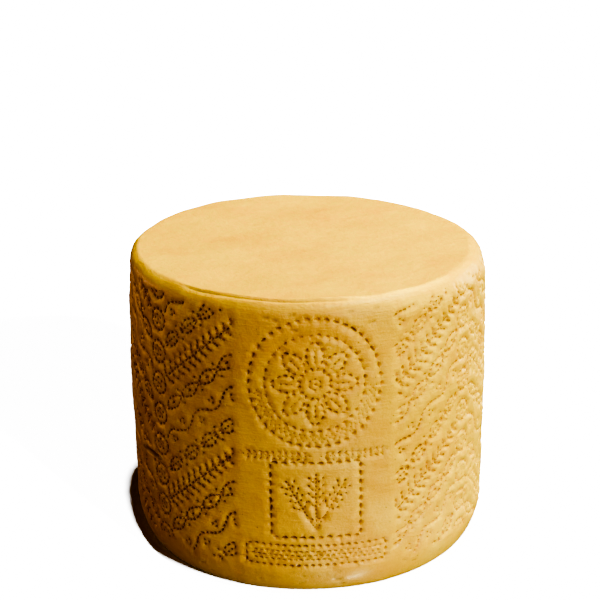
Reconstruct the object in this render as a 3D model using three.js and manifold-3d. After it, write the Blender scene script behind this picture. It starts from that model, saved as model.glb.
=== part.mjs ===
// A whole drum of hard sheep's-milk cheese, standing on its flat base: one solid with a bellied side,
// a broad rounded foot, an uneven top rim and a rind pressed full of small dotted marks.
//
// Millimetres, +Z up. The origin is the middle of the base, and -Y is the stamped front.
// A place on the side is given on the unrolled rind: u runs along the girth from the middle of the
// front, positive towards +X, and z is the height above the base.
import * as THREE from "three";
import { ParametricGeometry } from "three/addons/geometries/ParametricGeometry.js";
import { mergeVertices } from "three/addons/utils/BufferGeometryUtils.js";
import Module from "manifold-3d";

// Driving dimensions of the drum.
const DIAMETER = 320;
const HEIGHT = 272;
const BELLY = 2.8; // the radius is this much less at the side's two ends than at mid height
const OVALITY = 1; // and narrower from front to back than from side to side, at the radius
const FOOT_REACH = 20; // the foot's rounding, inwards
const FOOT_RISE = 40; // and upwards
const SHOULDER_DROP = 19; // the top rim's rounding, downwards
const CRISP_REACH = 8; // its reach inwards on the left, where the rim keeps an edge
const SOFT_REACH = 14; // and on the right, where it has slumped round
const CRISP_SWEEP = THREE.MathUtils.degToRad(55);
const SOFT_SWEEP = THREE.MathUtils.degToRad(90);
const CRISP_SIDE = THREE.MathUtils.degToRad(-75); // direction of the crispest rim, from the front
const TOP_TILT = 3; // the flat top falls by this much from left to right

// The front panel is a touch flatter than the girth, so that it stands proud of the marking band,
// which wraps the rest of the side, by a low step at each of its edges.
const PANEL_HALF = 70; // half of the panel's width along the girth
const PANEL_RISE = 0.6; // height of the step
const PANEL_EASE = 3; // and its width
const BAND_LOW = 30;
const BAND_HIGH = 260;

// The marks, each a small pit: half its length, half its width, and its depth.
const DASH = { along: 2.2, across: 1.15, depth: 1.5 };
const DOT = { along: 1.3, across: 1.1, depth: 1.3 };
const BLOSSOM = { along: 3.2, across: 3.2, depth: 1.3 };
const SCAR = { along: 23, across: 2, depth: 1.6 };
const PIT_LIFT = 0.7; // a pit's cutter starts this far outside the rind

// Front panel: a round medallion over a dashed line, a framed sheaf of grain and a long strip.
const MEDALLION = { z: 201, rim: 57, dashes: 46, inner: 49.5, dots: 40 };
const PETALS = { count: 8, from: 9, to: 43, half: 8, dots: 5 };
const LINE = { z: 136.5, half: 64, pitch: 8 };
const FRAME = { z: 94.5, halfWidth: 39, halfHeight: 35, pitch: 6 };
const EAR = {
  count: 3,
  lean: THREE.MathUtils.degToRad(27), // between neighbours
  length: 44,
  stem: 0.3, // share of the length below the first grains
  grains: 6,
  half: 4.2,
  splay: THREE.MathUtils.degToRad(30), // of a grain from its stem
};
const STRIP = { z: 42, halfWidth: 62, halfHeight: 9.5, pitch: 6.2 };

// Band: blossoms strung on chevrons round the girth.
const CHEVRON = { periods: 11, rise: 16.3, pitch: 34, perPeriod: 4 };

// The scar on the left of the side, and the crease under the front edge of the top.
const SCAR_AT = { u: -162, z: 105 };
const CREASE = {
  from: THREE.MathUtils.degToRad(-40),
  to: THREE.MathUtils.degToRad(14),
  half: 1.1,
  below: 1.6,
  runOut: 3, // how far the cutter swings out of the rind at its two ends
  runPower: 6, // the higher, the later it swings
  steps: 24,
};

// The mesh: columns round the girth, and rows up each stretch of the profile.
const COLUMNS = 72;
const ROWS = { base: 1, foot: 5, side: 5, shoulder: 4, top: 2 };
const FINEST = 0.01; // slivers thinner than this are smoothed away after the cuts
const WELD = 1e-3; // corners nearer than this are one corner

const TAU = 2 * Math.PI;
const RADIUS = DIAMETER / 2;
const GIRTH = TAU * RADIUS;
const { lerp, smoothstep } = THREE.MathUtils;

// Share of the rim's crisp form at a direction: 1 at CRISP_SIDE, 0 opposite.
function crispness(phi) {
  return 0.5 + 0.5 * Math.cos(phi - CRISP_SIDE);
}

// Height of the front panel over the marking band: nothing at its middle, PANEL_RISE at its edges.
function panelLift(u) {
  const off = Math.abs(u) / PANEL_HALF;
  const inside = 1 - smoothstep(Math.abs(u) - PANEL_HALF, -PANEL_EASE / 2, PANEL_EASE / 2);
  return PANEL_RISE * off * off * inside;
}

// Radius of the side before its ends are rounded: a parabola for the belly, a slight oval, and the
// front panel.
function sideRadius(phi, z) {
  const s = (2 * z) / HEIGHT - 1;
  const u = RADIUS * Math.atan2(Math.sin(phi), Math.cos(phi));
  return RADIUS - BELLY * s * s - (OVALITY * (1 + Math.cos(2 * phi))) / 2 + panelLift(u);
}

// Height of the top: a plane that falls from the left to the right.
function topHeight(x) {
  return HEIGHT - (TOP_TILT * (x + RADIUS)) / DIAMETER;
}

// The top rim at a direction: where its rounding starts on the side and ends at the flat top.
function rim(phi) {
  const crisp = crispness(phi);
  const edge = topHeight(RADIUS * Math.sin(phi));
  const start = edge - SHOULDER_DROP;
  const radius = sideRadius(phi, start);
  return {
    edge,
    start,
    radius,
    reach: lerp(SOFT_REACH, CRISP_REACH, crisp),
    sweep: lerp(SOFT_SWEEP, CRISP_SWEEP, crisp),
  };
}

// One point of the profile at a direction, as [radius, height], t going from 0 at the start of a
// stretch to 1 at its end. The foot is a quarter of an ellipse, and so is the shoulder, which stops
// short of the level where the rim is crisp.
const STRETCHES = {
  base: (phi, t) => [footRadius(phi) * t, 0],
  foot: (phi, t) => {
    const a = (t * Math.PI) / 2;
    return [footRadius(phi) + FOOT_REACH * Math.sin(a), FOOT_RISE * (1 - Math.cos(a))];
  },
  side: (phi, t) => {
    const z = lerp(FOOT_RISE, rim(phi).start, t);
    return [sideRadius(phi, z), z];
  },
  shoulder: (phi, t) => {
    const r = rim(phi);
    const a = t * r.sweep;
    const inwards = (r.reach * (1 - Math.cos(a))) / (1 - Math.cos(r.sweep));
    return [r.radius - inwards, r.start + (SHOULDER_DROP * Math.sin(a)) / Math.sin(r.sweep)];
  },
  top: (phi, t) => {
    const r = rim(phi);
    const radius = (r.radius - r.reach) * (1 - t);
    return [radius, lerp(r.edge, topHeight(0), t)];
  },
};

function footRadius(phi) {
  return sideRadius(phi, FOOT_RISE) - FOOT_REACH;
}

// The whole profile as one list of rows, so that v = row / rows walks it from the base's middle,
// up the side, to the top's middle.
function profileRows() {
  const rows = [["base", 0]];
  for (const [name, count] of Object.entries(ROWS)) {
    for (let i = 1; i <= count; i += 1) rows.push([name, i / count]);
  }
  return rows;
}

function rindGeometry() {
  const rows = profileRows();
  const last = rows.length - 1;
  const point = (across, up, target) => {
    const phi = TAU * (across % 1);
    const [name, t] = rows[Math.round(up * last)];
    const [radius, z] = STRETCHES[name](phi, t);
    target.set(radius * Math.sin(phi), -radius * Math.cos(phi), z);
  };
  return new ParametricGeometry(point, COLUMNS, last);
}

// A pit's cutter: a four-sided pyramid, its point inwards, that opens to the pit's size at the rind
// and goes on widening to PIT_LIFT outside it. turn leans its length up from the girth.
function pitCutter({ u, z, turn = 0, shape }) {
  const phi = u / RADIUS;
  const tall = shape.depth + PIT_LIFT;
  const spread = (tall / shape.depth) * Math.SQRT2;
  const out = new THREE.Vector3(Math.sin(phi), -Math.cos(phi), 0);
  const girth = new THREE.Vector3(Math.cos(phi), Math.sin(phi), 0);
  const along = girth.clone().multiplyScalar(Math.cos(turn)).setZ(Math.sin(turn));
  const across = new THREE.Vector3().crossVectors(along, out);
  const cone = new THREE.ConeGeometry(1, 1, 4, 1, false, Math.PI / 4);
  cone.translate(0, 0.5, 0);
  cone.scale(shape.along * spread, tall, shape.across * spread);
  const inwards = out.clone().negate();
  const turned = new THREE.Matrix4().makeBasis(along, inwards, across.negate());
  const place = out.multiplyScalar(sideRadius(phi, z) + PIT_LIFT).setZ(z);
  return cone.applyMatrix4(turned).translate(place.x, place.y, place.z);
}

// Marks along a circle, each lying along it.
function ring(z, radius, count, shape) {
  return Array.from({ length: count }, (_, i) => {
    const a = (TAU * i) / count;
    return { u: radius * Math.cos(a), z: z + radius * Math.sin(a), turn: a + Math.PI / 2, shape };
  });
}

// The medallion's flower: each petal is two bowed rows of dots, half apart at its middle.
function petals() {
  const marks = [];
  for (let k = 0; k < PETALS.count; k += 1) {
    const a = (TAU * k) / PETALS.count;
    for (const side of [-1, 1]) {
      for (let i = 0; i < PETALS.dots; i += 1) {
        const t = (i + 0.5) / PETALS.dots;
        const out = lerp(PETALS.from, PETALS.to, t);
        const off = side * PETALS.half * Math.sin(Math.PI * t);
        marks.push({
          u: out * Math.cos(a) - off * Math.sin(a),
          z: MEDALLION.z + out * Math.sin(a) + off * Math.cos(a),
          turn: a,
          shape: DOT,
        });
      }
    }
  }
  return marks;
}

// Marks along the straight line between two places on the rind, each in the middle of its step.
function row(from, to, pitch, shape) {
  const length = Math.hypot(to.u - from.u, to.z - from.z);
  const steps = Math.max(1, Math.round(length / pitch));
  const turn = Math.atan2(to.z - from.z, to.u - from.u);
  return Array.from({ length: steps }, (_, i) => ({
    u: lerp(from.u, to.u, (i + 0.5) / steps),
    z: lerp(from.z, to.z, (i + 0.5) / steps),
    turn,
    shape,
  }));
}

// A rectangle of marks, drawn as four rows.
function box({ z, halfWidth, halfHeight, pitch }, shape) {
  const corners = [
    { u: -halfWidth, z: z - halfHeight },
    { u: halfWidth, z: z - halfHeight },
    { u: halfWidth, z: z + halfHeight },
    { u: -halfWidth, z: z + halfHeight },
  ];
  return corners.flatMap((corner, i) => row(corner, corners[(i + 1) % 4], pitch, shape));
}

// A sheaf of grain ears that fan out of one foot, each a stem with paired grains up its sides.
function sheaf() {
  const marks = [];
  const foot = FRAME.z - EAR.length / 2;
  for (let k = 0; k < EAR.count; k += 1) {
    const lean = EAR.lean * (k - (EAR.count - 1) / 2);
    for (let i = 0; i < EAR.grains; i += 1) {
      const up = EAR.length * lerp(EAR.stem, 1, i / (EAR.grains - 1));
      for (const side of [-1, 1]) {
        marks.push({
          u: up * Math.sin(lean) + side * EAR.half * Math.cos(lean),
          z: foot + up * Math.cos(lean) - side * EAR.half * Math.sin(lean),
          turn: Math.PI / 2 - lean - side * EAR.splay,
          shape: DOT,
        });
      }
    }
  }
  return marks;
}

// Blossoms at even steps along chevrons that run round the band, clipped to its height.
function blossoms() {
  const marks = [];
  const width = GIRTH - 2 * PANEL_HALF;
  const period = width / CHEVRON.periods;
  const step = period / CHEVRON.perPeriod;
  const reach = BLOSSOM.along;
  for (let z0 = BAND_LOW; z0 < BAND_HIGH + CHEVRON.pitch; z0 += CHEVRON.pitch) {
    for (let along = step / 2; along < width; along += step) {
      const phase = (along / period) % 1;
      const z = z0 + CHEVRON.rise * (1 - 4 * Math.abs(phase - 0.5));
      const u = PANEL_HALF + along;
      if (z > BAND_LOW + reach && z < BAND_HIGH - reach) marks.push({ u, z, shape: BLOSSOM });
    }
  }
  return marks;
}

// The crease under the top's front edge: a four-sided cord of a cutter that follows the rim just
// below its edge and swings out of the rind at both ends.
function creaseCutter() {
  const at = (t) => {
    const phi = lerp(CREASE.from, CREASE.to, t);
    const r = rim(phi);
    const out = CREASE.runOut * Math.abs(2 * t - 1) ** CREASE.runPower;
    const radius = r.radius - r.reach + CREASE.below / Math.tan(r.sweep) + out;
    const z = r.edge - CREASE.below + out;
    return new THREE.Vector3(radius * Math.sin(phi), -radius * Math.cos(phi), z);
  };
  const points = Array.from({ length: CREASE.steps + 1 }, (_, i) => at(i / CREASE.steps));
  const path = new THREE.CatmullRomCurve3(points);
  const h = CREASE.half;
  const corners = [
    [h, 0],
    [0, h],
    [-h, 0],
    [0, -h],
  ];
  const section = new THREE.Shape(corners.map(([x, y]) => new THREE.Vector2(x, y)));
  return new THREE.ExtrudeGeometry(section, { steps: CREASE.steps, extrudePath: path });
}

// A closed geometry as a solid: only its places are kept, and faces that collapse at a pole go.
function solidOf(wasm, geometry) {
  const bare = geometry.index ? geometry.toNonIndexed() : geometry.clone();
  bare.deleteAttribute("normal");
  bare.deleteAttribute("uv");
  const merged = mergeVertices(bare, WELD);
  const index = merged.index.array;
  const kept = [];
  for (let i = 0; i < index.length; i += 3) {
    const [a, b, c] = index.subarray(i, i + 3);
    if (a !== b && b !== c && c !== a) kept.push(a, b, c);
  }
  const vertProperties = merged.attributes.position.array;
  const triVerts = new Uint32Array(kept);
  return new wasm.Manifold(new wasm.Mesh({ numProp: 3, vertProperties, triVerts }));
}

// The solid's triangles as a geometry that a mesh can show.
function geometryOf(solid) {
  const { vertProperties, triVerts } = solid.getMesh();
  const geometry = new THREE.BufferGeometry();
  geometry.setAttribute("position", new THREE.BufferAttribute(vertProperties, 3));
  geometry.setIndex(new THREE.BufferAttribute(triVerts, 1));
  geometry.computeVertexNormals();
  return geometry;
}

const wasm = await Module();
wasm.setup();

const marks = [
  ...ring(MEDALLION.z, MEDALLION.rim, MEDALLION.dashes, DASH),
  ...ring(MEDALLION.z, MEDALLION.inner, MEDALLION.dots, DOT),
  ...petals(),
  ...row({ u: -LINE.half, z: LINE.z }, { u: LINE.half, z: LINE.z }, LINE.pitch, DASH),
  ...box(FRAME, DASH),
  ...sheaf(),
  ...box(STRIP, DASH),
  ...blossoms(),
  { ...SCAR_AT, shape: SCAR },
];
const cutters = [...marks.map(pitCutter), creaseCutter()].map((cutter) => solidOf(wasm, cutter));
const wheel = solidOf(wasm, rindGeometry()).subtract(wasm.Manifold.union(cutters)).simplify(FINEST);

const rind = new THREE.MeshStandardMaterial({ color: 0xdcb368, roughness: 0.6, metalness: 0 });
const cheese = new THREE.Mesh(geometryOf(wheel), rind);
cheese.name = "cheese_wheel";

const group = new THREE.Group();
group.add(cheese);

export default group;
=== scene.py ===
import math

import bpy
import numpy as np
from mathutils import Matrix, Vector
from mathutils.geometry import delaunay_2d_cdt


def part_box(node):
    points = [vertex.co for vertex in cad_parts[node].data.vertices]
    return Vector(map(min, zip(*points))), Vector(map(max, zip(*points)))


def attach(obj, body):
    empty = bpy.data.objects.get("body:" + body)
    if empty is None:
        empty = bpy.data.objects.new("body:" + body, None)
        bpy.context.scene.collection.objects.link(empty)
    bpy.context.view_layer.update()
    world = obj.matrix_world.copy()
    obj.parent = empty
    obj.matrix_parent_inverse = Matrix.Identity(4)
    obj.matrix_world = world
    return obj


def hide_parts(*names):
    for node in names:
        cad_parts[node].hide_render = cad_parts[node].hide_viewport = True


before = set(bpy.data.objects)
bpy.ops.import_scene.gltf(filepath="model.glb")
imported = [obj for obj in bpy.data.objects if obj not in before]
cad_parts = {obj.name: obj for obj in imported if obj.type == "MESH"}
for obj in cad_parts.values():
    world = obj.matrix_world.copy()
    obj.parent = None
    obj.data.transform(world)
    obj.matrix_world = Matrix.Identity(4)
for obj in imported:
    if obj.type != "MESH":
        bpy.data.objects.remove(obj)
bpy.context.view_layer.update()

# --- Where the wheel is seen from ------------------------------------------------------------------
# A long lens looks down at the stamped front from a little above and a little to the left, so that
# the sides hardly converge and a flat oval of the top shows.
LENS = 108.3  # millimetres, over a 36 mm sensor
CAMERA_AZIMUTH = math.radians(-1.7)  # from the front, positive towards +X
CAMERA_ELEVATION = math.radians(20.3)
CAMERA_ROLL = math.radians(0.7)
CAMERA_DISTANCE = 1.657
CAMERA_REACH = 40.0
AIM = (-0.0075, 0.0758)  # to the right of and above the wheel's middle, in the camera's own plane

lowest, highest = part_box("cheese_wheel")
middle = (lowest + highest) / 2
level = Vector((-math.sin(CAMERA_AZIMUTH), math.cos(CAMERA_AZIMUTH), 0.0))
forward = level * math.cos(CAMERA_ELEVATION) - Vector((0, 0, 1)) * math.sin(CAMERA_ELEVATION)
flat_right = forward.cross(Vector((0, 0, 1))).normalized()
flat_up = flat_right.cross(forward)
right = flat_right * math.cos(CAMERA_ROLL) - flat_up * math.sin(CAMERA_ROLL)
up = flat_right * math.sin(CAMERA_ROLL) + flat_up * math.cos(CAMERA_ROLL)
camera = bpy.data.objects.new("camera", bpy.data.cameras.new("camera"))
camera.data.lens = LENS
camera.data.clip_end = CAMERA_REACH
camera.matrix_world = Matrix((right, up, -forward)).transposed().to_4x4()
camera.location = middle + right * AIM[0] + up * AIM[1] - forward * CAMERA_DISTANCE
bpy.context.scene.collection.objects.link(camera)
bpy.context.scene.camera = camera

# --- The drum's form -------------------------------------------------------------------------------
# The curd is pressed in a tall hoop: a bellied side, a broad rounded foot, and a top rim that keeps
# an edge on the left and has slumped round on the right. The sizes here are in millimetres, and a
# place on the side is u along the girth from the middle of the front, and z above the base.
MM = 0.001
CROWN = 1.3  # the pressed top stands this much above the plain solid
RADIUS = (highest.x - lowest.x) / 2 / MM
HEIGHT = highest.z / MM + CROWN
GIRTH = 2 * np.pi * RADIUS
BELLY = 2.8  # how much narrower the side is at its two ends than at its middle
OVALITY = 1.0
FOOT_REACH = 20.0
FOOT_RISE = 40.0
CRISP_SIDE = np.radians(-75)  # the rim is crispest here and softest on the other side
CRISP_DROP = 10.0
SOFT_DROP = 19.0
CRISP_REACH = 7.0
SOFT_REACH = 14.0
CRISP_SWEEP = np.radians(55)
SOFT_SWEEP = np.radians(90)
TOP_TILT = 3.0
TOP_DISH = 1.0
PANEL_HALF = 70.0
PANEL_RISE = 0.6
PANEL_EASE = 3.0
BASE, FOOT, SIDE, SHOULDER, TOP = range(5)  # the profile's stages; a place is a stage plus 0 to 1


def ease(x, low, high):
    """0 below low and 1 above high, by the cubic that is level at both."""
    t = np.clip((x - low) / (high - low), 0, 1)
    return t * t * (3 - 2 * t)


def blend(a, b, share):
    """From a at share 0 to b at share 1."""
    return a + (b - a) * share


def side_radius(theta, z):
    """The hoop's radius, less a parabola for the belly and a slight oval, plus the front panel,
    which is flatter than the girth and so stands proud by a step at its two edges."""
    u = np.abs(RADIUS * np.arctan2(np.sin(theta), np.cos(theta)))
    panel = PANEL_RISE * (u / PANEL_HALF) ** 2
    panel = panel * (1 - ease(u, PANEL_HALF - PANEL_EASE / 2, PANEL_HALF + PANEL_EASE / 2))
    return RADIUS - BELLY * (2 * z / HEIGHT - 1) ** 2 - OVALITY * (1 + np.cos(2 * theta)) / 2 + panel


def rim(theta):
    """At a direction: the rim's height, where its rounding starts, its reach inwards, and how far
    round its quarter of an ellipse it goes before the flat top cuts it off."""
    edge = HEIGHT - TOP_TILT * (np.sin(theta) + 1) / 2
    crisp = 0.5 + 0.5 * np.cos(theta - CRISP_SIDE)
    sweep = blend(SOFT_SWEEP, CRISP_SWEEP, crisp)
    start = edge - blend(SOFT_DROP, CRISP_DROP, crisp)
    return edge, start, blend(SOFT_REACH, CRISP_REACH, crisp), sweep


def profile(theta, stage):
    """Radius and height at a stage. The foot and the shoulder are parts of ellipses, the side is
    side_radius, the base is flat, and the top is a tilted plane with a shallow dish."""
    step = np.clip(np.floor(stage), BASE, TOP)
    t = stage - step
    edge, start, reach, sweep = rim(theta)
    shoulder_radius = side_radius(theta, start)
    foot_radius = side_radius(theta, FOOT_RISE) - FOOT_REACH
    turn = t * np.pi / 2
    side_z = blend(FOOT_RISE, start, t)
    inwards = reach * (1 - np.cos(t * sweep)) / (1 - np.cos(sweep))
    centre = HEIGHT - TOP_TILT / 2
    radius = np.choose(step.astype(int), [
        foot_radius * t,
        foot_radius + FOOT_REACH * np.sin(turn),
        side_radius(theta, side_z),
        shoulder_radius - inwards,
        (shoulder_radius - reach) * (1 - t),
    ])
    z = np.choose(step.astype(int), [
        np.zeros_like(t),
        FOOT_RISE * (1 - np.cos(turn)),
        side_z,
        start + (edge - start) * np.sin(t * sweep) / np.sin(sweep),
        blend(edge, centre, t) - TOP_DISH * (1 - (1 - t) ** 2),
    ])
    return radius, z


def stage_at(theta, z):
    """The stage at a height on the foot, the side or the shoulder: profile's z the other way."""
    edge, start, reach, sweep = rim(theta)
    foot = FOOT + np.arccos(np.clip(1 - z / FOOT_RISE, 0, 1)) / (np.pi / 2)
    side = SIDE + (z - FOOT_RISE) / (start - FOOT_RISE)
    rise = np.clip((z - start) / (edge - start), 0, 0.999)
    shoulder = SHOULDER + np.arcsin(rise * np.sin(sweep)) / sweep
    return np.where(z < FOOT_RISE, foot, np.where(z < start, side, shoulder))


def drum(theta, stage):
    """Points of the drum, one row each."""
    radius, z = profile(theta, stage)
    return np.stack([radius * np.sin(theta), -radius * np.cos(theta), z], axis=-1)


def outward(theta, stage):
    """Unit normals of the drum, from the cross product of its two small steps."""
    small = 1e-4
    along = drum(theta + small, stage) - drum(theta - small, stage)
    above = drum(theta, stage + small) - drum(theta, stage - small)
    normal = np.cross(along, above)
    return normal / np.linalg.norm(normal, axis=-1, keepdims=True)


def waves(points, lengths, seed):
    """Even, aimless unevenness between about -1 and 1: a sum of sine waves through space, one for
    each wave length, in random directions."""
    draw = np.random.default_rng(seed)
    total = np.zeros(len(points))
    for length in lengths:
        way = draw.normal(size=3)
        way *= 2 * np.pi / length / np.linalg.norm(way)
        total += np.sin(points @ way + draw.uniform(0, 2 * np.pi))
    return total / math.sqrt(len(lengths))


# --- The front panel's stamps ----------------------------------------------------------------------
# A plate of pins is pressed into the young rind: a round medallion with a flower, two ears of grain
# under it, a framed sheaf and a long strip. Each pin leaves a small oblong pit. A mark is a row of
# numbers: u, z, its turn from the girth, half its length and width, and its depth.
DASH = (3.0, 1.2, 2.1)
SHORT_DASH = (2.3, 1.05, 1.7)
THIN_DASH = (1.9, 0.7, 1.2)
DOT = (1.3, 0.9, 1.15)
PRICK = (0.95, 0.8, 1.0)
MEDALLION_Z = 201.0
MEDALLION_RADIUS = 57.0
FLOWER_RING = 43.0
EYE_RING = 4.8
PETALS = 8
PETAL_SPAN = (10.5, 38.5)  # how far from the flower's eye a petal starts and ends
PETAL_HALF = 7.4
RIB = ((17.0, 0.0), (31.0, 0.0))
HEM_RADIUS = 50.0
HEM_GAP = 2.7
HEM_FROM = 1.03  # in half turns
HEM_SHIFT = 0.0155
HEM_SPAN = 0.94
GARLAND_Z = 135.5
GRAIN_STEM = ((3.0, 0.0), (64.0, 0.0))
FRAME_Z = 94.5
FRAME_HALF = (39.0, 35.0)
STALK = ((0.0, 0.0), (54.0, 0.0))
STALK_FOOT = -28.0
STALK_LEANS = (-29, 0, 29)  # degrees from upright
TIE = ((-8.0, -17.0), (8.0, -17.0))
STRIP_Z = 42.0
STRIP_HALF = (62.0, 9.5)
STRIP_INSET = 6.0
STRIP_PITCH = 5.0
STRIP_ROW_GAP = 3.9
STRIP_LEAN = 4  # degrees, up in the upper row and down in the lower


def marks_at(u, z, turn, pin):
    """Marks of one pin at places and turns that are arrays or single numbers."""
    u, z, turn = np.broadcast_arrays(*np.atleast_1d(u, z, turn))
    return np.column_stack([u, z, turn, np.tile(pin, (len(u), 1))])


def moved(marks, u, z, turn=0.0):
    """A motif's marks turned about its own origin and moved to a place on the rind."""
    out = marks.copy()
    out[:, 0] = u + marks[:, 0] * math.cos(turn) - marks[:, 1] * math.sin(turn)
    out[:, 1] = z + marks[:, 0] * math.sin(turn) + marks[:, 1] * math.cos(turn)
    out[:, 2] += turn
    return out


def ring(radius, count, pin, first=0.0, span=2 * np.pi):
    """Marks along a circle, or along span of it from the angle first."""
    a = first + span * (np.arange(count) + 0.5) / count
    return marks_at(radius * np.cos(a), radius * np.sin(a), a + np.pi / 2, pin)


def line(start, end, pitch, pin):
    """Marks along a straight line, each in the middle of its step."""
    (u0, z0), (u1, z1) = start, end
    count = max(1, round(math.hypot(u1 - u0, z1 - z0) / pitch))
    t = (np.arange(count) + 0.5) / count
    return marks_at(blend(u0, u1, t), blend(z0, z1, t), math.atan2(z1 - z0, u1 - u0), pin)


def rectangle(half_width, half_height, pitch, pin):
    """Four lines round the origin."""
    w, h = half_width, half_height
    corners = [(-w, -h), (w, -h), (w, h), (-w, h)]
    return np.vstack([line(corners[i], corners[(i + 1) % 4], pitch, pin) for i in range(4)])


def petal(start, end, half_width, count, pin):
    """Two bowed rows of marks from start to end along u, half_width apart from the middle line."""
    t = (np.arange(count) + 0.5) / count
    slope = np.arctan2(half_width * np.pi * np.cos(np.pi * t), end - start)
    bow = half_width * np.sin(np.pi * t)
    along = blend(start, end, t)
    return np.vstack([marks_at(along, side * bow, side * slope, pin) for side in (-1, 1)])


def ear(start, end, pitch, pin, spread, splay=math.radians(42)):
    """An ear of grain along u: at each step a grain on both sides, each a row of marks, spread away
    from the middle line, that leans forward by splay."""
    steps = start + pitch * np.arange(round((end - start) / pitch))
    parts = []
    for side in (-1, 1):
        for off in spread:
            parts.append(marks_at(steps + off / math.tan(splay), side * off, side * splay, pin))
    return np.vstack(parts)


def blossom(outer, inner, pin, petals=12, stamens=5):
    """A small flower: a ring of petal marks round a smaller ring, and a mark in the middle."""
    eye = marks_at(0.0, 0.0, 0.0, DOT)
    return np.vstack([eye, ring(inner, stamens, DOT), ring(outer, petals, pin)])


medallion = [
    ring(MEDALLION_RADIUS, 43, DASH),
    ring(FLOWER_RING, 36, SHORT_DASH),
    ring(EYE_RING, 6, DOT),
    marks_at(0.0, 0.0, 0.0, DOT),
]
for k in range(PETALS):
    turn = 2 * k * np.pi / PETALS
    medallion.append(moved(petal(*PETAL_SPAN, PETAL_HALF, 5, SHORT_DASH), 0, 0, turn))
    medallion.append(moved(line(*RIB, 4.6, DOT), 0, 0, turn))
for row in (-1, 0, 1):  # a lattice of three rows fills the lower half between the rings
    first = (HEM_FROM + HEM_SHIFT * (row % 2)) * np.pi
    medallion.append(ring(HEM_RADIUS + HEM_GAP * row, 30, PRICK, first, HEM_SPAN * np.pi))

grain = np.vstack([line(*GRAIN_STEM, 3.9, PRICK), ear(6.0, 60.0, 5.4, THIN_DASH, spread=(3.0,))])
garland = [grain, moved(grain, 0, 0, math.pi)]

sheaf = [rectangle(*FRAME_HALF, 7.6, DASH), line(*TIE, 3.2, DOT)]
stalk = np.vstack([line(*STALK, 3.7, DOT), ear(21.0, 50.0, 7.2, DOT, spread=(3.0, 6.0))])
for lean in STALK_LEANS:
    sheaf.append(moved(stalk, 0, STALK_FOOT, math.radians(90 - lean)))

strip = [rectangle(*STRIP_HALF, 6.2, SHORT_DASH)]
for row in (-1, 0, 1):
    u = np.arange(STRIP_INSET - STRIP_HALF[0], STRIP_HALF[0] - STRIP_PITCH, STRIP_PITCH)
    u = u + STRIP_PITCH / 2 * (row % 2)
    strip.append(marks_at(u, STRIP_ROW_GAP * row, math.radians(STRIP_LEAN * row), THIN_DASH))

panel_marks = np.vstack([
    moved(np.vstack(medallion), 0, MEDALLION_Z),
    moved(np.vstack(garland), 0, GARLAND_Z),
    moved(np.vstack(sheaf), 0, FRAME_Z),
    moved(np.vstack(strip), 0, STRIP_Z),
])

# --- The marking band ------------------------------------------------------------------------------
# A flexible band of pins wraps the rest of the side while the cheese drains. It carries rows of
# fern, leaves, vine and braid that climb and fall round the girth between round blossoms, cut off
# where the band ends.
BAND_PIN = (2.15, 1.05, 2.3)
BERRY_PIN = (1.4, 1.0, 1.8)
BAND_LOW = 29.0
BAND_HIGH = 261.0
BAND_MARGIN = 1.5
LEGS = 9
BAND_RUN_IN = 14.0  # the first and last turns of the rows lie this far past the band's ends
CLIMB = math.radians(40)
ROW_PITCH = 29.0
BLOSSOM_RADIUS = 9.6
BLOSSOM_EYE = 4.4
BLOSSOM_GAP = 3.5
BLOSSOM_TURN = 0.3
ROW_HALF = 8.0  # a row of ornament reaches this far to both sides of its middle line
PIN_PITCH = 4.6
BERRY_RING = 2.6
WAVE_STEPS = 800

leg_width = (GIRTH - 2 * PANEL_HALF + 2 * BAND_RUN_IN) / LEGS
leg_rise = leg_width * math.tan(CLIMB)
leg_length = leg_width / math.cos(CLIMB)
leg_start, leg_end = BLOSSOM_RADIUS + BLOSSOM_GAP, leg_length - BLOSSOM_RADIUS - BLOSSOM_GAP


def wave(start, end, length, reach, pitch, pin, phase=0.0):
    """Marks an even pitch apart along a sine wave about u."""
    fine = np.linspace(start, end, WAVE_STEPS)
    bow = reach * np.sin(2 * np.pi * (fine - start) / length + phase)
    run = np.concatenate([[0], np.cumsum(np.hypot(np.diff(fine), np.diff(bow)))])
    count = round(run[-1] / pitch)
    at = np.interp(run[-1] * (np.arange(count) + 0.5) / count, run, fine)
    turn = 2 * np.pi * (at - start) / length + phase
    slope = np.arctan(reach * 2 * np.pi / length * np.cos(turn))
    return marks_at(at, reach * np.sin(turn), slope, pin)


def vine(start, end, bends, reach, pin, berry):
    """A shallow wave with a cluster of three berries in each hollow."""
    length = 2 * (end - start) / bends
    parts = [wave(start, end, length, reach * 0.5, PIN_PITCH, pin)]
    for k in range(bends):
        side = 1 if k % 2 == 0 else -1
        hollow = start + length * (k / 2 + 0.25)
        berries = ring(BERRY_RING, 3, berry, side * np.pi / 6)
        parts.append(moved(berries, hollow, -side * reach * 0.55))
    return np.vstack(parts)


def braid(start, end, eyes, reach, pin, berry):
    """Two shallow waves that cross, with a mark in each eye and one outside each crossing."""
    length = 2 * (end - start) / eyes
    middles = start + length * (np.arange(eyes) / 2 + 0.25)
    crossings = start + length * np.arange(1, eyes) / 2
    strands = [wave(start, end, length, reach * 0.62, PIN_PITCH, pin, phase) for phase in (0, np.pi)]
    outside = [marks_at(crossings, side * reach * 0.8, 0.0, berry) for side in (-1, 1)]
    return np.vstack([*strands, marks_at(middles, 0.0, 0.0, pin), *outside])


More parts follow.
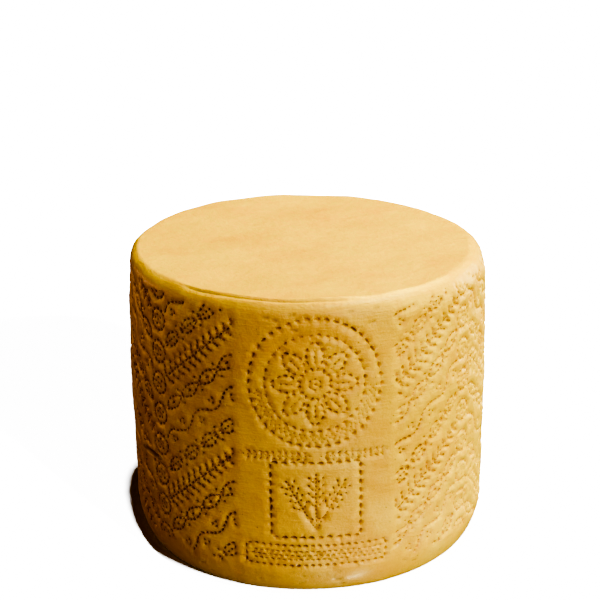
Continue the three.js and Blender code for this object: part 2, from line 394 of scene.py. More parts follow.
def fern(start, end, fronds, reach, pin):
    """A stem with slanting fronds of two marks on both sides, shorter towards its tip."""
    steps = np.linspace(start, end - reach, fronds)
    taper = np.minimum(1.0, 0.45 + 0.8 * (end - steps) / (end - start))
    splay = math.radians(55)
    parts = [line((start, 0), (end, 0), PIN_PITCH, pin)]
    for share in (0.48, 1.0):
        off = reach * share * taper
        for side in (-1, 1):
            parts.append(marks_at(steps + off * 0.7, side * off, side * splay, pin))
    return np.vstack(parts)


def leaves(start, end, count, reach, pin, berry):
    """Pointed leaves with a midrib, tip to tip, and two berries beside each joint."""
    half = (end - start) / count / 2
    rib = line((2.4 - half, 0), (half - 2.4, 0), PIN_PITCH, berry)
    leaf = np.vstack([petal(0.8 - half, half - 0.8, reach * 0.66, 5, pin), rib])
    joints = start + 2 * half * np.arange(1, count)
    parts = [moved(leaf, start + half * (2 * k + 1), 0) for k in range(count)]
    parts += [marks_at(joints, side * reach * 0.8, 0.0, berry) for side in (-1, 1)]
    return np.vstack(parts)


motifs = [
    fern(leg_start, leg_end, 12, ROW_HALF, BAND_PIN),
    leaves(leg_start, leg_end, 4, ROW_HALF, BAND_PIN, BERRY_PIN),
    vine(leg_start, leg_end, 5, ROW_HALF, BAND_PIN, BERRY_PIN),
    braid(leg_start, leg_end, 4, ROW_HALF, BAND_PIN, BERRY_PIN),
]

band = []
rows = np.arange(BAND_LOW - leg_rise, BAND_HIGH + ROW_PITCH, ROW_PITCH)
for number, foot_z in enumerate(rows):
    for leg in range(LEGS + 1):
        u = PANEL_HALF - BAND_RUN_IN + leg * leg_width
        climbs = leg % 2 == 0
        z = foot_z if climbs else foot_z + leg_rise
        band.append(moved(blossom(BLOSSOM_RADIUS, BLOSSOM_EYE, BAND_PIN), u, z, BLOSSOM_TURN * leg))
        if leg < LEGS:
            motif = motifs[(number + 2 * leg) % len(motifs)]
            band.append(moved(motif, u, z, CLIMB if climbs else -CLIMB))
band_marks = np.vstack(band)
u, z = band_marks[:, 0], band_marks[:, 1]
inside = (u > PANEL_HALF + BAND_MARGIN) & (u < GIRTH - PANEL_HALF - BAND_MARGIN)
band_marks = band_marks[inside & (z > BAND_LOW) & (z < BAND_HIGH)]

# --- Wear ------------------------------------------------------------------------------------------
# Handling and the hoop's cloth leave a long scar on the left, soft oblong dents under the rim and
# by the foot, and pores scattered over the side.
SCAR = (-172.0, 105.5, math.radians(1), 18.5, 2.9, 2.4)  # a whole mark, in a mark's order
SCAR_GAP = 0.3
DENT = (3.8, 1.5, 0.7)
DENT_GAP = 0.6
PORE = (0.8, 0.6, 0.6)
PORE_GAP = 0.8
PLACED_DENTS = ((-18.5, 262.0), (-41.0, 258.0), (-47.0, 257.5), (31.0, 262.5))
PLACED_TURN = 0.06
DENTS = 46
UNDER_RIM = (248.0, 265.0)
BY_FOOT = (9.0, 26.0)
PORES = 460
PORED = (12.0, 264.0)
AT_ONCE = 400  # marks compared with all the others at once, which keeps the arrays small

draw = np.random.default_rng(11)


def strewn(count, low, high, lean, pin, spread):
    """Marks of one pin at random places between two heights, each a little other in size."""
    u = draw.uniform(-GIRTH / 2, GIRTH / 2, count)
    z = draw.uniform(low, high, count)
    marks = marks_at(u, z, draw.normal(0, lean, count), pin)
    marks[:, 3:] *= draw.uniform(1 - spread, 1 + spread, (count, 3))
    return marks


def too_near(marks, others, gap):
    """Which marks lie within gap of any of the others, counting from edge to edge."""
    near = np.zeros(len(marks), bool)
    for part in np.array_split(np.arange(len(marks)), max(1, len(marks) // AT_ONCE)):
        du = marks[part, None, 0] - others[None, :, 0]
        du = (du + GIRTH / 2) % GIRTH - GIRTH / 2
        dz = marks[part, None, 1] - others[None, :, 1]
        c, s = np.cos(others[:, 2]), np.sin(others[:, 2])
        room = marks[part, None, 3] + gap
        along = (du * c + dz * s) / (others[:, 3] + room)
        across = (dz * c - du * s) / (others[:, 4] + room)
        near[part] = (along ** 2 + across ** 2 < 1).any(1)
    return near


def spaced(marks, gap):
    """The marks without those that lie too near an earlier one."""
    kept = marks[:1]
    for mark in marks[1:]:
        if not too_near(mark[None], kept, gap)[0]:
            kept = np.vstack([kept, mark])
    return kept


stamps = np.vstack([panel_marks, band_marks])
scars = marks_at(*SCAR[:3], SCAR[3:])
stamps = stamps[~too_near(stamps, scars, SCAR_GAP)]
dents = [marks_at(u, z, PLACED_TURN, DENT) for u, z in PLACED_DENTS]
dents.append(strewn(DENTS, *UNDER_RIM, 0.15, DENT, 0.45))
dents.append(strewn(DENTS // 2, *BY_FOOT, 0.15, DENT, 0.45))
dents = spaced(np.vstack(dents), PORE_GAP)
dents = dents[~too_near(dents, stamps, DENT_GAP)]
pores = spaced(strewn(PORES, *PORED, 0.4, PORE, 0.4), PORE_GAP)
pores = pores[~too_near(pores, np.vstack([stamps, scars, dents]), PORE_GAP)]

# No two pins bite alike: each pit's place, size and depth vary a little, and whole patches of the
# band print faintly where it lay slack. The left of the wheel took them deeper than the right, and
# the front plate's lower half deeper than its medallion.
BITE = 0.92
PATCH_BITE = 0.17
PATCH_LENGTHS = (55, 70, 90, 120, 60, 80)
PIN_BITE = 0.1
LEFT_BITE = 0.22
MEDALLION_FADE = 0.2
FADE_HEIGHTS = (110.0, 170.0)  # from which and to which it comes in
FAINTEST = 0.3
PLACE_SHAKE = 0.16
TURN_SHAKE = 0.12
SIZE_SHAKE = 0.07
SIZE = 0.7
SIZE_BY_BITE = 0.33
LARGEST = 1.12
RIGHT_LENGTH = 0.08
DEPTHS = (0.2, 1.3)
# How dark a pit is painted: browner the deeper it bites, partly dirt and partly painted shade in the
# hollow, and darker towards the wheel's left, the side the lights leave in shade, as painted shade.
BROWN_BY_BITE = 1.25
BROWN_START = 0.45
LEFT_PAINTED_SHADE = 0.6
LEAST_BROWN = 0.1

count = len(stamps)
theta = stamps[:, 0] / RADIUS
on_drum = drum(theta, stage_at(theta, stamps[:, 1]))
bite = BITE + PATCH_BITE * waves(on_drum, PATCH_LENGTHS, seed=4) + draw.normal(0, PIN_BITE, count)
bite -= LEFT_BITE * np.sin(theta)
on_panel = np.abs(stamps[:, 0]) < PANEL_HALF
bite -= MEDALLION_FADE * ease(stamps[:, 1], *FADE_HEIGHTS) * on_panel
stamps[:, 0] += draw.normal(0, PLACE_SHAKE, count)
stamps[:, 1] += draw.normal(0, PLACE_SHAKE, count)
stamps[:, 2] += draw.normal(0, TURN_SHAKE, count)
size = np.clip(SIZE + SIZE_BY_BITE * bite, SIZE, LARGEST)
stamps[:, 3:5] *= size[:, None] * draw.normal(1, SIZE_SHAKE, (count, 2))
stamps[:, 3] *= 1 + RIGHT_LENGTH * np.sin(theta)
stamps[:, 5] *= np.clip(bite, *DEPTHS)
# Painted shade: the pits are painted darker towards the wheel's left, on top of their dirt.
pit_dirt_and_shade = np.clip(BROWN_BY_BITE * bite - BROWN_START - LEFT_PAINTED_SHADE * np.sin(theta), LEAST_BROWN, 1)
pit_dirt_and_shade = pit_dirt_and_shade[bite > FAINTEST]
stamps = stamps[bite > FAINTEST]

# --- The rind --------------------------------------------------------------------------------------
# The whole outside is one closed skin. Its points are rings round the drum, denser where it bends,
# and the rims and floors of every pit. They are joined into triangles on a chart that keeps angles,
# wrapped round so that it has no seam, with a fan at each pole.
POLE_RADIUS = 9.0
SPACING = {BASE: 15.0, FOOT: 5.0, SIDE: 4.4, SHOULDER: 3.2, TOP: 6.5}
RING_JITTER = 0.16
TABLE_STEPS = 6000
BLUNTNESS = 0.78  # 1 makes a pit's rim an ellipse, and less makes its ends blunter
FLOOR_SHARE = 0.56  # how far a pit's floor reaches along it
LONG_MARK = 2.1
SHORT_MARK = 1.1
PIT_MARGIN = 1.0


def chart_table():
    """For the profile at the front: stages, their heights v on the chart, radii, and distances
    along the profile. v grows by each step over its radius, so that the chart keeps angles."""
    foot_radius = side_radius(0.0, FOOT_RISE) - FOOT_REACH
    edge, start, reach, sweep = rim(0.0)
    low = BASE + POLE_RADIUS / foot_radius
    high = TOP + 1 - POLE_RADIUS / (side_radius(0.0, start) - reach)
    stage = np.linspace(low, high, TABLE_STEPS)
    radius, z = profile(np.zeros_like(stage), stage)
    step = np.hypot(np.diff(radius), np.diff(z))
    v = np.concatenate([[0], np.cumsum(step / ((radius[1:] + radius[:-1]) / 2))])
    return stage, v, radius, np.concatenate([[0], np.cumsum(step)])


table_stage, table_v, table_radius, table_length = chart_table()


def chart(stage):
    """Height on the chart of a stage."""
    return np.interp(stage, table_stage, table_v)


def rings():
    """Points in rings round the drum, as theta and stage: the lowest ring, all between, and the
    highest. They are SPACING apart along the profile and as much round the girth, and every second
    one is turned by half a step."""
    gap = np.array([SPACING[int(min(s, TOP))] for s in table_stage])
    number = np.concatenate([[0], np.cumsum(np.diff(table_length) / gap[1:])])
    total = round(number[-1])
    levels = np.interp(np.linspace(0, number[-1], total + 1), number, table_stage)
    parts = []
    for i, stage in enumerate(levels):
        radius = np.interp(stage, table_stage, table_radius)
        n = max(8, round(2 * np.pi * radius / SPACING[int(min(stage, TOP))]))
        theta = 2 * np.pi * (np.arange(n) + 0.5 * (i % 2)) / n - np.pi
        end = i in (0, total)
        shake = 0.0 if end else RING_JITTER
        theta = theta + shake * draw.uniform(-1, 1, n) * 2 * np.pi / n
        step = shake * (levels[min(i + 1, total)] - levels[i])
        parts.append(np.column_stack([theta, stage + step * draw.uniform(-1, 1, n)]))
    return parts[0], np.vstack(parts[1:-1]), parts[-1]


def pit_points(marks, around, along):
    """Points of pits, as u, z, depth and pit number: around of them on each oblong rim, at depth 0,
    and along of them in a row on the pit's floor."""
    a = 2 * np.pi * np.arange(around) / around
    row = np.linspace(-FLOOR_SHARE, FLOOR_SHARE, along) if along > 1 else np.zeros(1)
    round_cos, round_sin = (np.sign(f(a)) * np.abs(f(a)) ** BLUNTNESS for f in (np.cos, np.sin))
    long = marks[:, 3:4] * np.concatenate([round_cos, row])
    wide = marks[:, 4:5] * np.concatenate([round_sin, 0 * row])
    share = np.concatenate([0 * a, 1 + 0 * row])
    c, s = np.cos(marks[:, 2:3]), np.sin(marks[:, 2:3])
    u = marks[:, 0:1] + long * c - wide * s
    z = marks[:, 1:2] + long * s + wide * c
    depth = marks[:, 5:6] * share
    number = np.arange(len(marks))[:, None] + 0 * u
    return np.stack([u, z, depth, number], axis=-1).reshape(-1, 4)


long = stamps[:, 3] > LONG_MARK
short = stamps[:, 3] < SHORT_MARK
between = ~long & ~short
# Each group: its marks, the points round a rim and along a floor, how dark its pits are painted,
# partly dirt and partly painted shade in the hollow, and whether its rim is a sharp edge. A rim is
# paler than its floor, the more so the paler the pit.
RIM_DIRT_AND_SHADE = 0.62
groups = [
    (stamps[long], 10, 3, pit_dirt_and_shade[long], True),
    (stamps[between], 8, 2, pit_dirt_and_shade[between], True),
    (stamps[short], 6, 1, pit_dirt_and_shade[short], True),
    (dents, 10, 3, 0.3, False),
    (pores, 5, 1, 0.6, True),
    (scars, 44, 21, 1.0, False),
]
pits, sharp = [], []
for marks, around, along, dirt_and_shade, is_sharp in groups:
    points = pit_points(marks, around, along)
    points[:, 3] += len(sharp)
    sharp += [is_sharp] * len(marks)
    dirt_and_shade = np.repeat(dirt_and_shade, around + along) if np.ndim(dirt_and_shade) else dirt_and_shade
    dirt_and_shade = dirt_and_shade * np.where(points[:, 2] > 0, 1.0, RIM_DIRT_AND_SHADE * dirt_and_shade)
    pits.append(np.column_stack([points, dirt_and_shade]))
pits = np.vstack(pits)
sharp = np.array(sharp)
all_marks = np.vstack([group[0] for group in groups])

bottom_ring, body_rings, top_ring = rings()
z_body = profile(*body_rings.T)[1]
ring_marks = np.column_stack([RADIUS * body_rings[:, 0], z_body, np.zeros((len(body_rings), 3))])
sided = (body_rings[:, 1] > FOOT) & (body_rings[:, 1] < TOP)
clear = np.ones(len(body_rings), bool)
clear[sided] = ~too_near(ring_marks[sided], all_marks, PIT_MARGIN)

# Each row of pins has a point on both sides, where the rind is pushed up into a low ridge.
BESIDE_GAP = 1.9
BESIDE_CELL = 2.4  # one point at most in each square of this size
RIDGE = 0.4

across = stamps[:, 4] + BESIDE_GAP
beside = np.vstack([stamps, stamps])
across = np.concatenate([across, -across])
beside[:, 0] -= across * np.sin(beside[:, 2])
beside[:, 1] += across * np.cos(beside[:, 2])
beside[:, 3:] = 0.0
beside = beside[~too_near(beside, all_marks, PIT_MARGIN)]
cell = np.round(beside[:, :2] / BESIDE_CELL).astype(int)
beside = beside[np.unique(cell, axis=0, return_index=True)[1]]
clear[sided] &= ~too_near(ring_marks[sided], beside, BESIDE_CELL)

# Rows of points follow the rim's edge all round, and dip into the crease under its front, which
# leaves the edge a little towards its right end. The crease is painted darker as it deepens:
# painted shade in the fold.
RIM_STEP = 2.2
CREASE_FROM = np.radians(-47)
CREASE_TO = np.radians(15)
CREASE_EASE = np.radians(8)
CREASE_ROWS = ((0.0, 0.0), (1.1, 1.0), (2.0, 0.8), (3.8, 0.0))  # below the rim's edge, and depth
CREASE_LEAVES = np.radians(-12)
CREASE_DROP = 1.2
CREASE_DEPTH = 1.8
# How dark the crease is painted at its full depth: painted shade.
CREASE_PAINTED_SHADE = 0.35
INNER_ROW = 1.6
ROOM_BELOW = 0.22  # ring points keep this far from the rim's edge, in stages
ROOM_ABOVE = 0.15  # and this share of it on the top

around = round(GIRTH / RIM_STEP)
rim_theta = 2 * np.pi * np.arange(around) / around - np.pi
edge, start, reach, sweep = rim(rim_theta)
crease = ease(rim_theta, CREASE_FROM, CREASE_FROM + CREASE_EASE)
crease = crease * (1 - ease(rim_theta, CREASE_TO - CREASE_EASE, CREASE_TO))
drop = CREASE_DROP * ease(rim_theta, CREASE_LEAVES, CREASE_TO)
rim_rows = []
for below, share in CREASE_ROWS:
    stage = SHOULDER + 1 - (below + drop * (below > 0)) / np.hypot(reach, edge - start)
    rim_rows.append(np.column_stack([rim_theta, stage, crease * share * CREASE_DEPTH]))
level_row = np.zeros(around)
rim_rows.append(np.column_stack([rim_theta, TOP + INNER_ROW / RADIUS + level_row, level_row]))
rim_rows = np.vstack(rim_rows)
room = ROOM_BELOW * np.where(body_rings[:, 1] < TOP, 1.0, ROOM_ABOVE)
clear &= np.abs(body_rings[:, 1] - TOP) > room


def plain(points, depth=0.0, dirt_and_shade=0.0):
    """Rows of theta, stage, depth, pit number and painted shade for points that lie in no pit."""
    depth, pit, dirt_and_shade, _ = np.broadcast_arrays(depth, -1, dirt_and_shade, points[:, 0])
    return np.column_stack([points, depth, pit, dirt_and_shade])


def on_profile(marks):
    """Theta within half a turn of the front, and stage, of places given as u and z."""
    theta = (marks[:, 0] / RADIUS + np.pi) % (2 * np.pi) - np.pi
    return np.column_stack([theta, stage_at(theta, marks[:, 1])])


skin = np.vstack([
    plain(body_rings[clear]),
    plain(on_profile(beside), -RIDGE),
    plain(rim_rows[:, :2], rim_rows[:, 2], rim_rows[:, 2] * CREASE_PAINTED_SHADE / CREASE_DEPTH),
    np.column_stack([on_profile(pits), pits[:, 2:]]),
    plain(bottom_ring),
    plain(top_ring),
])
theta, stage, depth, pit, dirt_and_shade = skin.T

# Over the whole rind go slow swells and a finer ripple, and along each row of pins a groove.
SWELL = 0.55
SWELL_LENGTHS = (45, 60, 75, 95, 120, 150, 38, 52)
RIPPLE = 0.16
RIPPLE_LENGTHS = (14, 17, 21, 26, 19, 23)
SWELL_RISE = (4.0, 30.0)  # heights from which and to which they come in, above the flat base
GROOVE_DEPTH = 1.15
GROOVE_BLUR = 1.4
WELL_BLUR = 4.0
WELL_SHARE = 0.8
GROOVE_CELLS = (1024, 280)
GROOVE_FULL = 93  # the percentile of the blurred grid that counts as a full groove
GROOVE_LIMITS = (-1.0, 1.35)


def pressed(theta, stage):
    """How far the rows of pins press each point in, about 1 along a row and below 0 beside it, where
    the rind wells up: the marks counted on an unrolled grid, blurred by a narrow round bell curve
    less a wide one, and read between the grid's nodes."""
    cells = GROOVE_CELLS
    size = (GIRTH / cells[0], HEIGHT / cells[1])
    u, z, reach = stamps[:, 0] % GIRTH, stamps[:, 1], stamps[:, 3]
    grid = np.histogram2d(u, z, bins=cells, range=((0, GIRTH), (0, HEIGHT)), weights=reach)[0]
    waves_u, waves_z = np.fft.fftfreq(cells[0], size[0]), np.fft.rfftfreq(cells[1], size[1])
    squared = waves_u[:, None] ** 2 + waves_z[None] ** 2
    bell = np.exp(-2 * (np.pi * GROOVE_BLUR) ** 2 * squared)
    wide = np.exp(-2 * (np.pi * WELL_BLUR) ** 2 * squared)
    soft = np.fft.irfft2(np.fft.rfft2(grid) * (bell - WELL_SHARE * wide), s=cells)
    at_u = (RADIUS * theta) % GIRTH / size[0] - 0.5
    at_z = np.clip(profile(theta, stage)[1] / size[1] - 0.5, 0, cells[1] - 1.001)
    i, j = np.floor(at_u).astype(int), np.floor(at_z).astype(int)
    s, t = at_u - i, at_z - j
    i0, i1 = i % cells[0], (i + 1) % cells[0]
    low = blend(soft[i0, j], soft[i1, j], s)
    high = blend(soft[i0, j + 1], soft[i1, j + 1], s)
    return np.clip(blend(low, high, t) / np.percentile(soft, GROOVE_FULL), *GROOVE_LIMITS)


points = drum(theta, stage)
normals = outward(theta, stage)
swell = SWELL * waves(points, SWELL_LENGTHS, seed=2)
swell += RIPPLE * waves(points, RIPPLE_LENGTHS, seed=3)
swell *= ease(points[:, 2], *SWELL_RISE)
groove = pressed(theta, stage) * ((stage > FOOT) & (stage < TOP))
points = points + normals * (swell - GROOVE_DEPTH * groove - depth)[:, None]

# The chart is repeated a little past both its ends, and the triangles whose middle lies within one
# turn are kept, so that they close round the back.
OVERLAP = 1.0
NO_MERGING = 1e-9

flat = np.column_stack([theta, chart(stage)])
order = np.arange(len(flat))
left_end = flat[:, 0] < -np.pi + OVERLAP
right_end = flat[:, 0] > np.pi - OVERLAP
whole_turn = np.array([2 * np.pi, 0.0])
sheet = np.vstack([flat, flat[left_end] + whole_turn, flat[right_end] - whole_turn])
owner = np.concatenate([order, order[left_end], order[right_end]])
joined = delaunay_2d_cdt([Vector(p) for p in sheet.tolist()], [], [], 0, NO_MERGING, False)
assert len(joined[0]) == len(sheet)
triangles = np.array(joined[2])
centre = sheet[triangles, 0].mean(1)
triangles = owner[triangles[(centre >= -np.pi) & (centre < np.pi)]]


def fan(ring, pole, upwards):
    """Triangles from a ring's points, in order of their angle, to one pole."""
    ring = ring[np.argsort(theta[ring])]
    following = np.roll(ring, -1)
    pair = (ring, following) if upwards else (following, ring)
    return np.column_stack([*pair, np.full(len(ring), pole)])


total = len(points)
bottom = np.arange(total - len(top_ring) - len(bottom_ring), total - len(top_ring))
top = np.arange(total - len(top_ring), total)
poles = np.array([[0, 0, 0], [0, 0, points[top, 2].mean()]])
triangles = np.vstack([triangles, fan(bottom, total, False), fan(top, total + 1, True)])
points = np.vstack([points, poles])
pit = np.append(pit, [-1, -1]).astype(int)
depth = np.append(depth, [0, 0])
dirt_and_shade = np.append(dirt_and_shade, [0, 0])
groove = np.append(groove, [0, 0]).astype(np.float32)

# The pits' painted dirt and shade is kept for each corner, so that the brown ends at a pit's rim
# but for a faint painted halo.
HALO = 0.25

outside = pit[triangles] < 0
in_one_pit = (pit[triangles] == pit[triangles[:, :1]]).all(1) | outside.all(1)
share = np.where(in_one_pit[:, None] | outside, 1.0, HALO)
dirt_and_shade = (dirt_and_shade[triangles] * share).astype(np.float32)
on_rim = np.where((depth == 0) & (pit >= 0), pit, -1)
on_rim[~sharp[on_rim]] = -1

mesh = bpy.data.meshes.new("cheese_rind")
mesh.vertices.add(len(points))
mesh.vertices.foreach_set("co", (points * MM).ravel())
mesh.loops.add(3 * len(triangles))
mesh.loops.foreach_set("vertex_index", triangles.ravel().astype(np.int32))
mesh.polygons.add(len(triangles))
mesh.polygons.foreach_set("loop_start", np.arange(0, 3 * len(triangles), 3, dtype=np.int32))
mesh.polygons.foreach_set("use_smooth", np.ones(len(triangles), bool))
mesh.update(calc_edges=True)
mesh.validate()
# The painted darkening of pits and crease, partly dirt and partly painted shade, for each corner.
mesh.attributes.new("painted_dirt_and_shade", "FLOAT", "CORNER").data.foreach_set("value", dirt_and_shade.ravel())
mesh.attributes.new("groove", "FLOAT", "POINT").data.foreach_set("value", groove)
ends = np.empty(2 * len(mesh.edges), np.int32)
mesh.edges.foreach_get("vertices", ends)
numbers = on_rim[ends.reshape(-1, 2)]
sharp_edges = (numbers[:, 0] == numbers[:, 1]) & (numbers[:, 0] >= 0)
mesh.attributes.new("sharp_edge", "BOOLEAN", "EDGE").data.foreach_set("value", sharp_edges)

cheese = bpy.data.objects.new("cheese_rind", mesh)
bpy.context.scene.collection.objects.link(cheese)
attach(cheese, "root")
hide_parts("cheese_wheel")

# --- The rind's finish -----------------------------------------------------------------------------
# An oiled, cured rind: straw yellow, mottled with paler cream and deeper gold, with a fine grain
# drawn out along the girth by the hoop's cloth. The pits are painted dark brown, partly dirt and
# partly painted shade, and the crease under the rim as painted shade; the grooves are painted deeper
# gold as painted shade, and the rind welled up beside them paler as a painted highlight. A noise's
# scale is in waves per metre.
STRAW = (0.78, 0.50, 0.076)
CREAM = (0.83, 0.575, 0.135)
GOLD = (0.71, 0.405, 0.047)
RUSSET = (0.66, 0.31, 0.035)
# The pits' dark brown, partly dirt and partly painted shade.
PIT_BROWN = (0.13, 0.030, 0.004)


class Value:
    """A number in a material, as a socket. Arithmetic on it adds Math nodes."""

    def __init__(self, nodes, socket):
        self.nodes = nodes
        self.socket = socket

    def math(self, operation, *others):
        inputs = dict(enumerate((self, *others)))
        return self.nodes.add("ShaderNodeMath", {"operation": operation}, inputs)

    def __add__(self, other):
        return self.math("ADD", other)

    def __mul__(self, other):
        return self.math("MULTIPLY", other)

    __radd__ = __add__
    __rmul__ = __mul__


class Nodes:
    """A material's node tree, filled by calls that each make one node."""

    def __init__(self, name):
        self.material = bpy.data.materials.new(name)
        self.material.use_nodes = True
        self.tree = self.material.node_tree
        self.shader = self.tree.nodes["Principled BSDF"]

    def add(self, kind, settings=None, inputs=None, output=0):
        """One node: its settings are set first, then each input's value or link."""
        node = self.tree.nodes.new(kind)
        for key, value in (settings or {}).items():
            setattr(node, key, value)
        for key, value in (inputs or {}).items():
            self.feed(node.inputs[key], value)
        return Value(self, node.outputs[output])

    def feed(self, socket, value):
        """Links a Value to a socket, or sets a number or a colour on it."""
        if isinstance(value, Value):
            self.tree.links.new(value.socket, socket)
        elif hasattr(value, "__len__") and len(value) == 3 and len(socket.default_value) == 4:
            socket.default_value = (*value, 1.0)
        else:
            socket.default_value = value

    def mix(self, share, a, b):
        """A colour from a at share 0 to b at share 1."""
        inputs = {"Factor": share, 6: a, 7: b}
        return self.add("ShaderNodeMix", {"data_type": "RGBA"}, inputs, output=2)

    def noise(self, where, scale, detail, roughness):
        """Noise of about 0 to 1 at a place."""
        inputs = {"Vector": where, "Scale": scale, "Detail": detail, "Roughness": roughness}
        return self.add("ShaderNodeTexNoise", None, inputs)

    def stretch(self, value, low, high):
        """0 below low and 1 above high, eased between."""
        inputs = {"Value": value, "From Min": low, "From Max": high}
        return self.add("ShaderNodeMapRange", {"interpolation_type": "SMOOTHSTEP"}, inputs)


rind = Nodes("rind")
place = rind.add("ShaderNodeTexCoord", output=3)
drawn_out = rind.add("ShaderNodeMapping", None, {"Vector": place, "Scale": (1.0, 1.0, 9.0)})
dirt_and_shade_map = rind.add("ShaderNodeAttribute", {"attribute_name": "painted_dirt_and_shade"}, output=2)
grooved = rind.add("ShaderNodeAttribute", {"attribute_name": "groove"}, output=2)

clouds = rind.stretch(rind.noise(place, 11.0, 4.0, 0.55), 0.38, 0.66)
patches = rind.stretch(rind.noise(place, 34.0, 5.0, 0.6), 0.40, 0.68)
blushes = rind.stretch(rind.noise(place, 17.0, 3.0, 0.5), 0.45, 0.70)
freckles = rind.stretch(rind.noise(place, 420.0, 2.0, 0.5), 0.60, 0.78)
streaks = rind.stretch(rind.noise(drawn_out, 60.0, 4.0, 0.6), 0.35, 0.75)

colour = rind.mix(clouds * 0.6, STRAW, CREAM)
colour = rind.mix(patches * 0.4, colour, GOLD)
colour = rind.mix(blushes * 0.35, colour, RUSSET)
colour = rind.mix(streaks * 0.16, colour, CREAM)
colour = rind.mix(freckles * 0.3, colour, GOLD)
# Painted shade: the grooves are painted a deeper gold. Painted highlight: the rind welled up beside
# them is painted paler.
colour = rind.mix(rind.stretch(grooved, 0.0, 1.3) * 0.45, colour, GOLD)
colour = rind.mix(rind.stretch(grooved * -1.0, 0.1, 0.8) * 0.35, colour, CREAM)
# Pits and crease painted dark brown: partly dirt, partly painted shade.
colour = rind.mix(dirt_and_shade_map * 0.95, colour, PIT_BROWN)
rind.feed(rind.shader.inputs["Base Color"], colour)
rind.feed(rind.shader.inputs["Roughness"], 0.35 + patches * 0.12 + streaks * 0.08)

grain = rind.noise(place, 500.0, 3.0, 0.5) * 0.3 + rind.noise(place, 120.0, 4.0, 0.5) * 1.0
grain = grain + rind.noise(drawn_out, 70.0, 5.0, 0.6) * 0.6
bump = rind.add("ShaderNodeBump", None, {"Strength": 0.5, "Distance": 0.0017, "Height": grain})
rind.feed(rind.shader.inputs["Normal"], bump)
rind.shader.inputs["Subsurface Weight"].default_value = 0.12
rind.shader.inputs["Subsurface Radius"].default_value = (1.0, 0.42, 0.14)
rind.shader.inputs["Subsurface Scale"].default_value = 0.005
rind.shader.inputs["IOR"].default_value = 1.46
rind.shader.inputs["Coat Weight"].default_value = 0.18
rind.shader.inputs["Coat Roughness"].default_value = 0.2
mesh.materials.append(rind.material)

# --- Floor and light -------------------------------------------------------------------------------
# A plain white floor, and big soft lights round the wheel. The strongest stand high, behind and to
# the right, and light the top. Weak reddish ones on the left keep the shaded side a deep brown, and
# two small ones at the foot stand for the light that comes back from a white floor.
FLOOR_HALF = 6.0
FLOOR_WHITE = (0.92, 0.92, 0.92)
FLOOR_ROUGHNESS = 0.9
FAR = 2.4
BROAD = (1.4, 1.4)
WORLD_STRENGTH = 6.0

floor_mesh = bpy.data.meshes.new("floor")
corners = [(x * FLOOR_HALF, y * FLOOR_HALF, 0) for x, y in ((-1, -1), (1, -1), (1, 1), (-1, 1))]
floor_mesh.from_pydata(corners, [], [(0, 1, 2, 3)])
floor = bpy.data.objects.new("floor", floor_mesh)
bpy.context.scene.collection.objects.link(floor)
paint = Nodes("floor_paint")
paint.feed(paint.shader.inputs["Base Color"], FLOOR_WHITE)
paint.feed(paint.shader.inputs["Roughness"], FLOOR_ROUGHNESS)
floor_mesh.materials.append(paint.material)


def softbox(name, azimuth, elevation, distance, size, power, colour, aim=middle, spread=180.0):
    """An area light aimed at a point, by default the wheel's middle. azimuth is from the front,
    towards +X, and spread is the whole angle of its beam."""
    light = bpy.data.lights.new(name, "AREA")
    light.shape = "RECTANGLE"
    light.size, light.size_y = size
    light.energy = power
    light.color = colour
    light.spread = math.radians(spread)
    a, e = math.radians(azimuth), math.radians(elevation)
    way = Vector((math.sin(a) * math.cos(e), -math.cos(a) * math.cos(e), math.sin(e)))
    box = bpy.data.objects.new(name, light)
    box.location = aim + way * distance
    box.rotation_euler = way.to_track_quat("Z", "Y").to_euler()
    box.visible_camera = False
    bpy.context.scene.collection.objects.link(box)
    return box


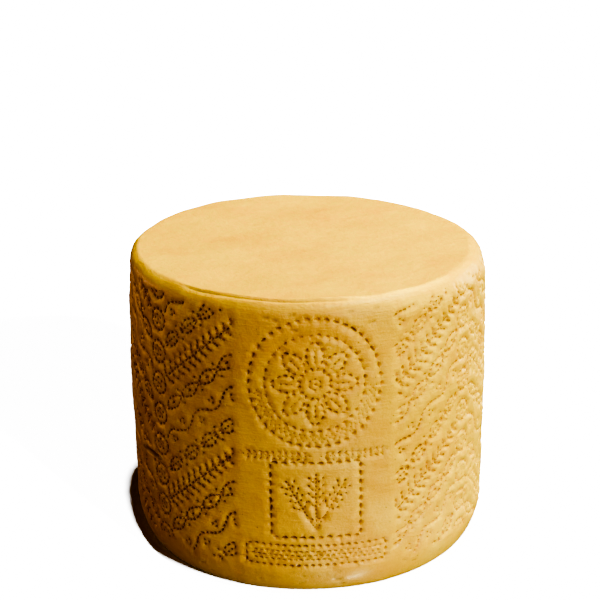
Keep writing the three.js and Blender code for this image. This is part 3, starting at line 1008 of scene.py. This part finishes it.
foot = Vector((0.07, -0.12, 0.01))  # near the foot, to the right of the front
softboxes = [  # name, azimuth, elevation, distance, size, power and colour, then aim and spread
    softbox("back top", 138, 55, FAR, BROAD, 84, (1.0, 0.80, 0.12)),
    softbox("front top", 56, 63, FAR, (2.2, 0.45), 45, (0.93, 1.0, 0.55)),
    softbox("right", 70, 8, FAR, BROAD, 36, (0.98, 0.96, 0.18)),
    softbox("back right", 120, 8, FAR, BROAD, 23, (0.98, 1.0, 0.75)),
    softbox("front", 24, 8, FAR, BROAD, 15.0, (1.0, 0.88, 0.95)),
    softbox("foot strip", 42, 4, 0.42, (0.8, 0.05), 0.09, (1.0, 1.0, 0.9), foot, 40.0),
    softbox("from below", 40, -64, 1.2, (0.2, 0.2), 0.055, (1.0, 0.95, 0.65), foot, 20.0),
    softbox("front left", -20, 10, FAR, (1.2, 1.2), 7.6, (1.0, 0.42, 0.38)),
    softbox("back left", -112, -3, 1.3, (1.0, 0.3), 2.9, (1.0, 0.56, 0.26)),
]

# The floor has two lights of its own, from in front, and the wheel has the others: so the floor
# stays white, the only shadow is where both are hidden, and no light comes back from the floor.
FLOOR_SUNS = (  # name, the way to it, its strength, and the angle that it fills in degrees
    ("high floor light", (0.07, -0.30, 1.0), 11.0, 1.8),
    ("low floor light", (0.57, -0.82, 0.47), 24.0, 8.0),
)

wheel_only = bpy.data.collections.new("wheel only")
wheel_only.objects.link(cheese)
for light in softboxes:
    light.light_linking.receiver_collection = wheel_only
floor_only = bpy.data.collections.new("floor only")
floor_only.objects.link(floor)
for name, towards, energy, angle in FLOOR_SUNS:
    sun = bpy.data.objects.new(name, bpy.data.lights.new(name, "SUN"))
    sun.data.energy = energy
    sun.data.angle = math.radians(angle)
    sun.rotation_euler = Vector(towards).to_track_quat("Z", "Y").to_euler()
    sun.light_linking.receiver_collection = floor_only
    bpy.context.scene.collection.objects.link(sun)
floor.visible_diffuse = False
floor.visible_glossy = False
floor.visible_shadow = False

world = bpy.data.worlds.new("world")
world.use_nodes = True
background = world.node_tree.nodes["Background"]
background.inputs["Color"].default_value = (1.0, 1.0, 1.0, 1.0)
background.inputs["Strength"].default_value = WORLD_STRENGTH
for ray in ("diffuse", "glossy", "transmission", "scatter"):
    setattr(world.cycles_visibility, ray, False)
bpy.context.scene.world = world

view = bpy.context.scene.view_settings
view.view_transform = "AgX"
view.look = "AgX - Very High Contrast"
view.exposure = 0.0
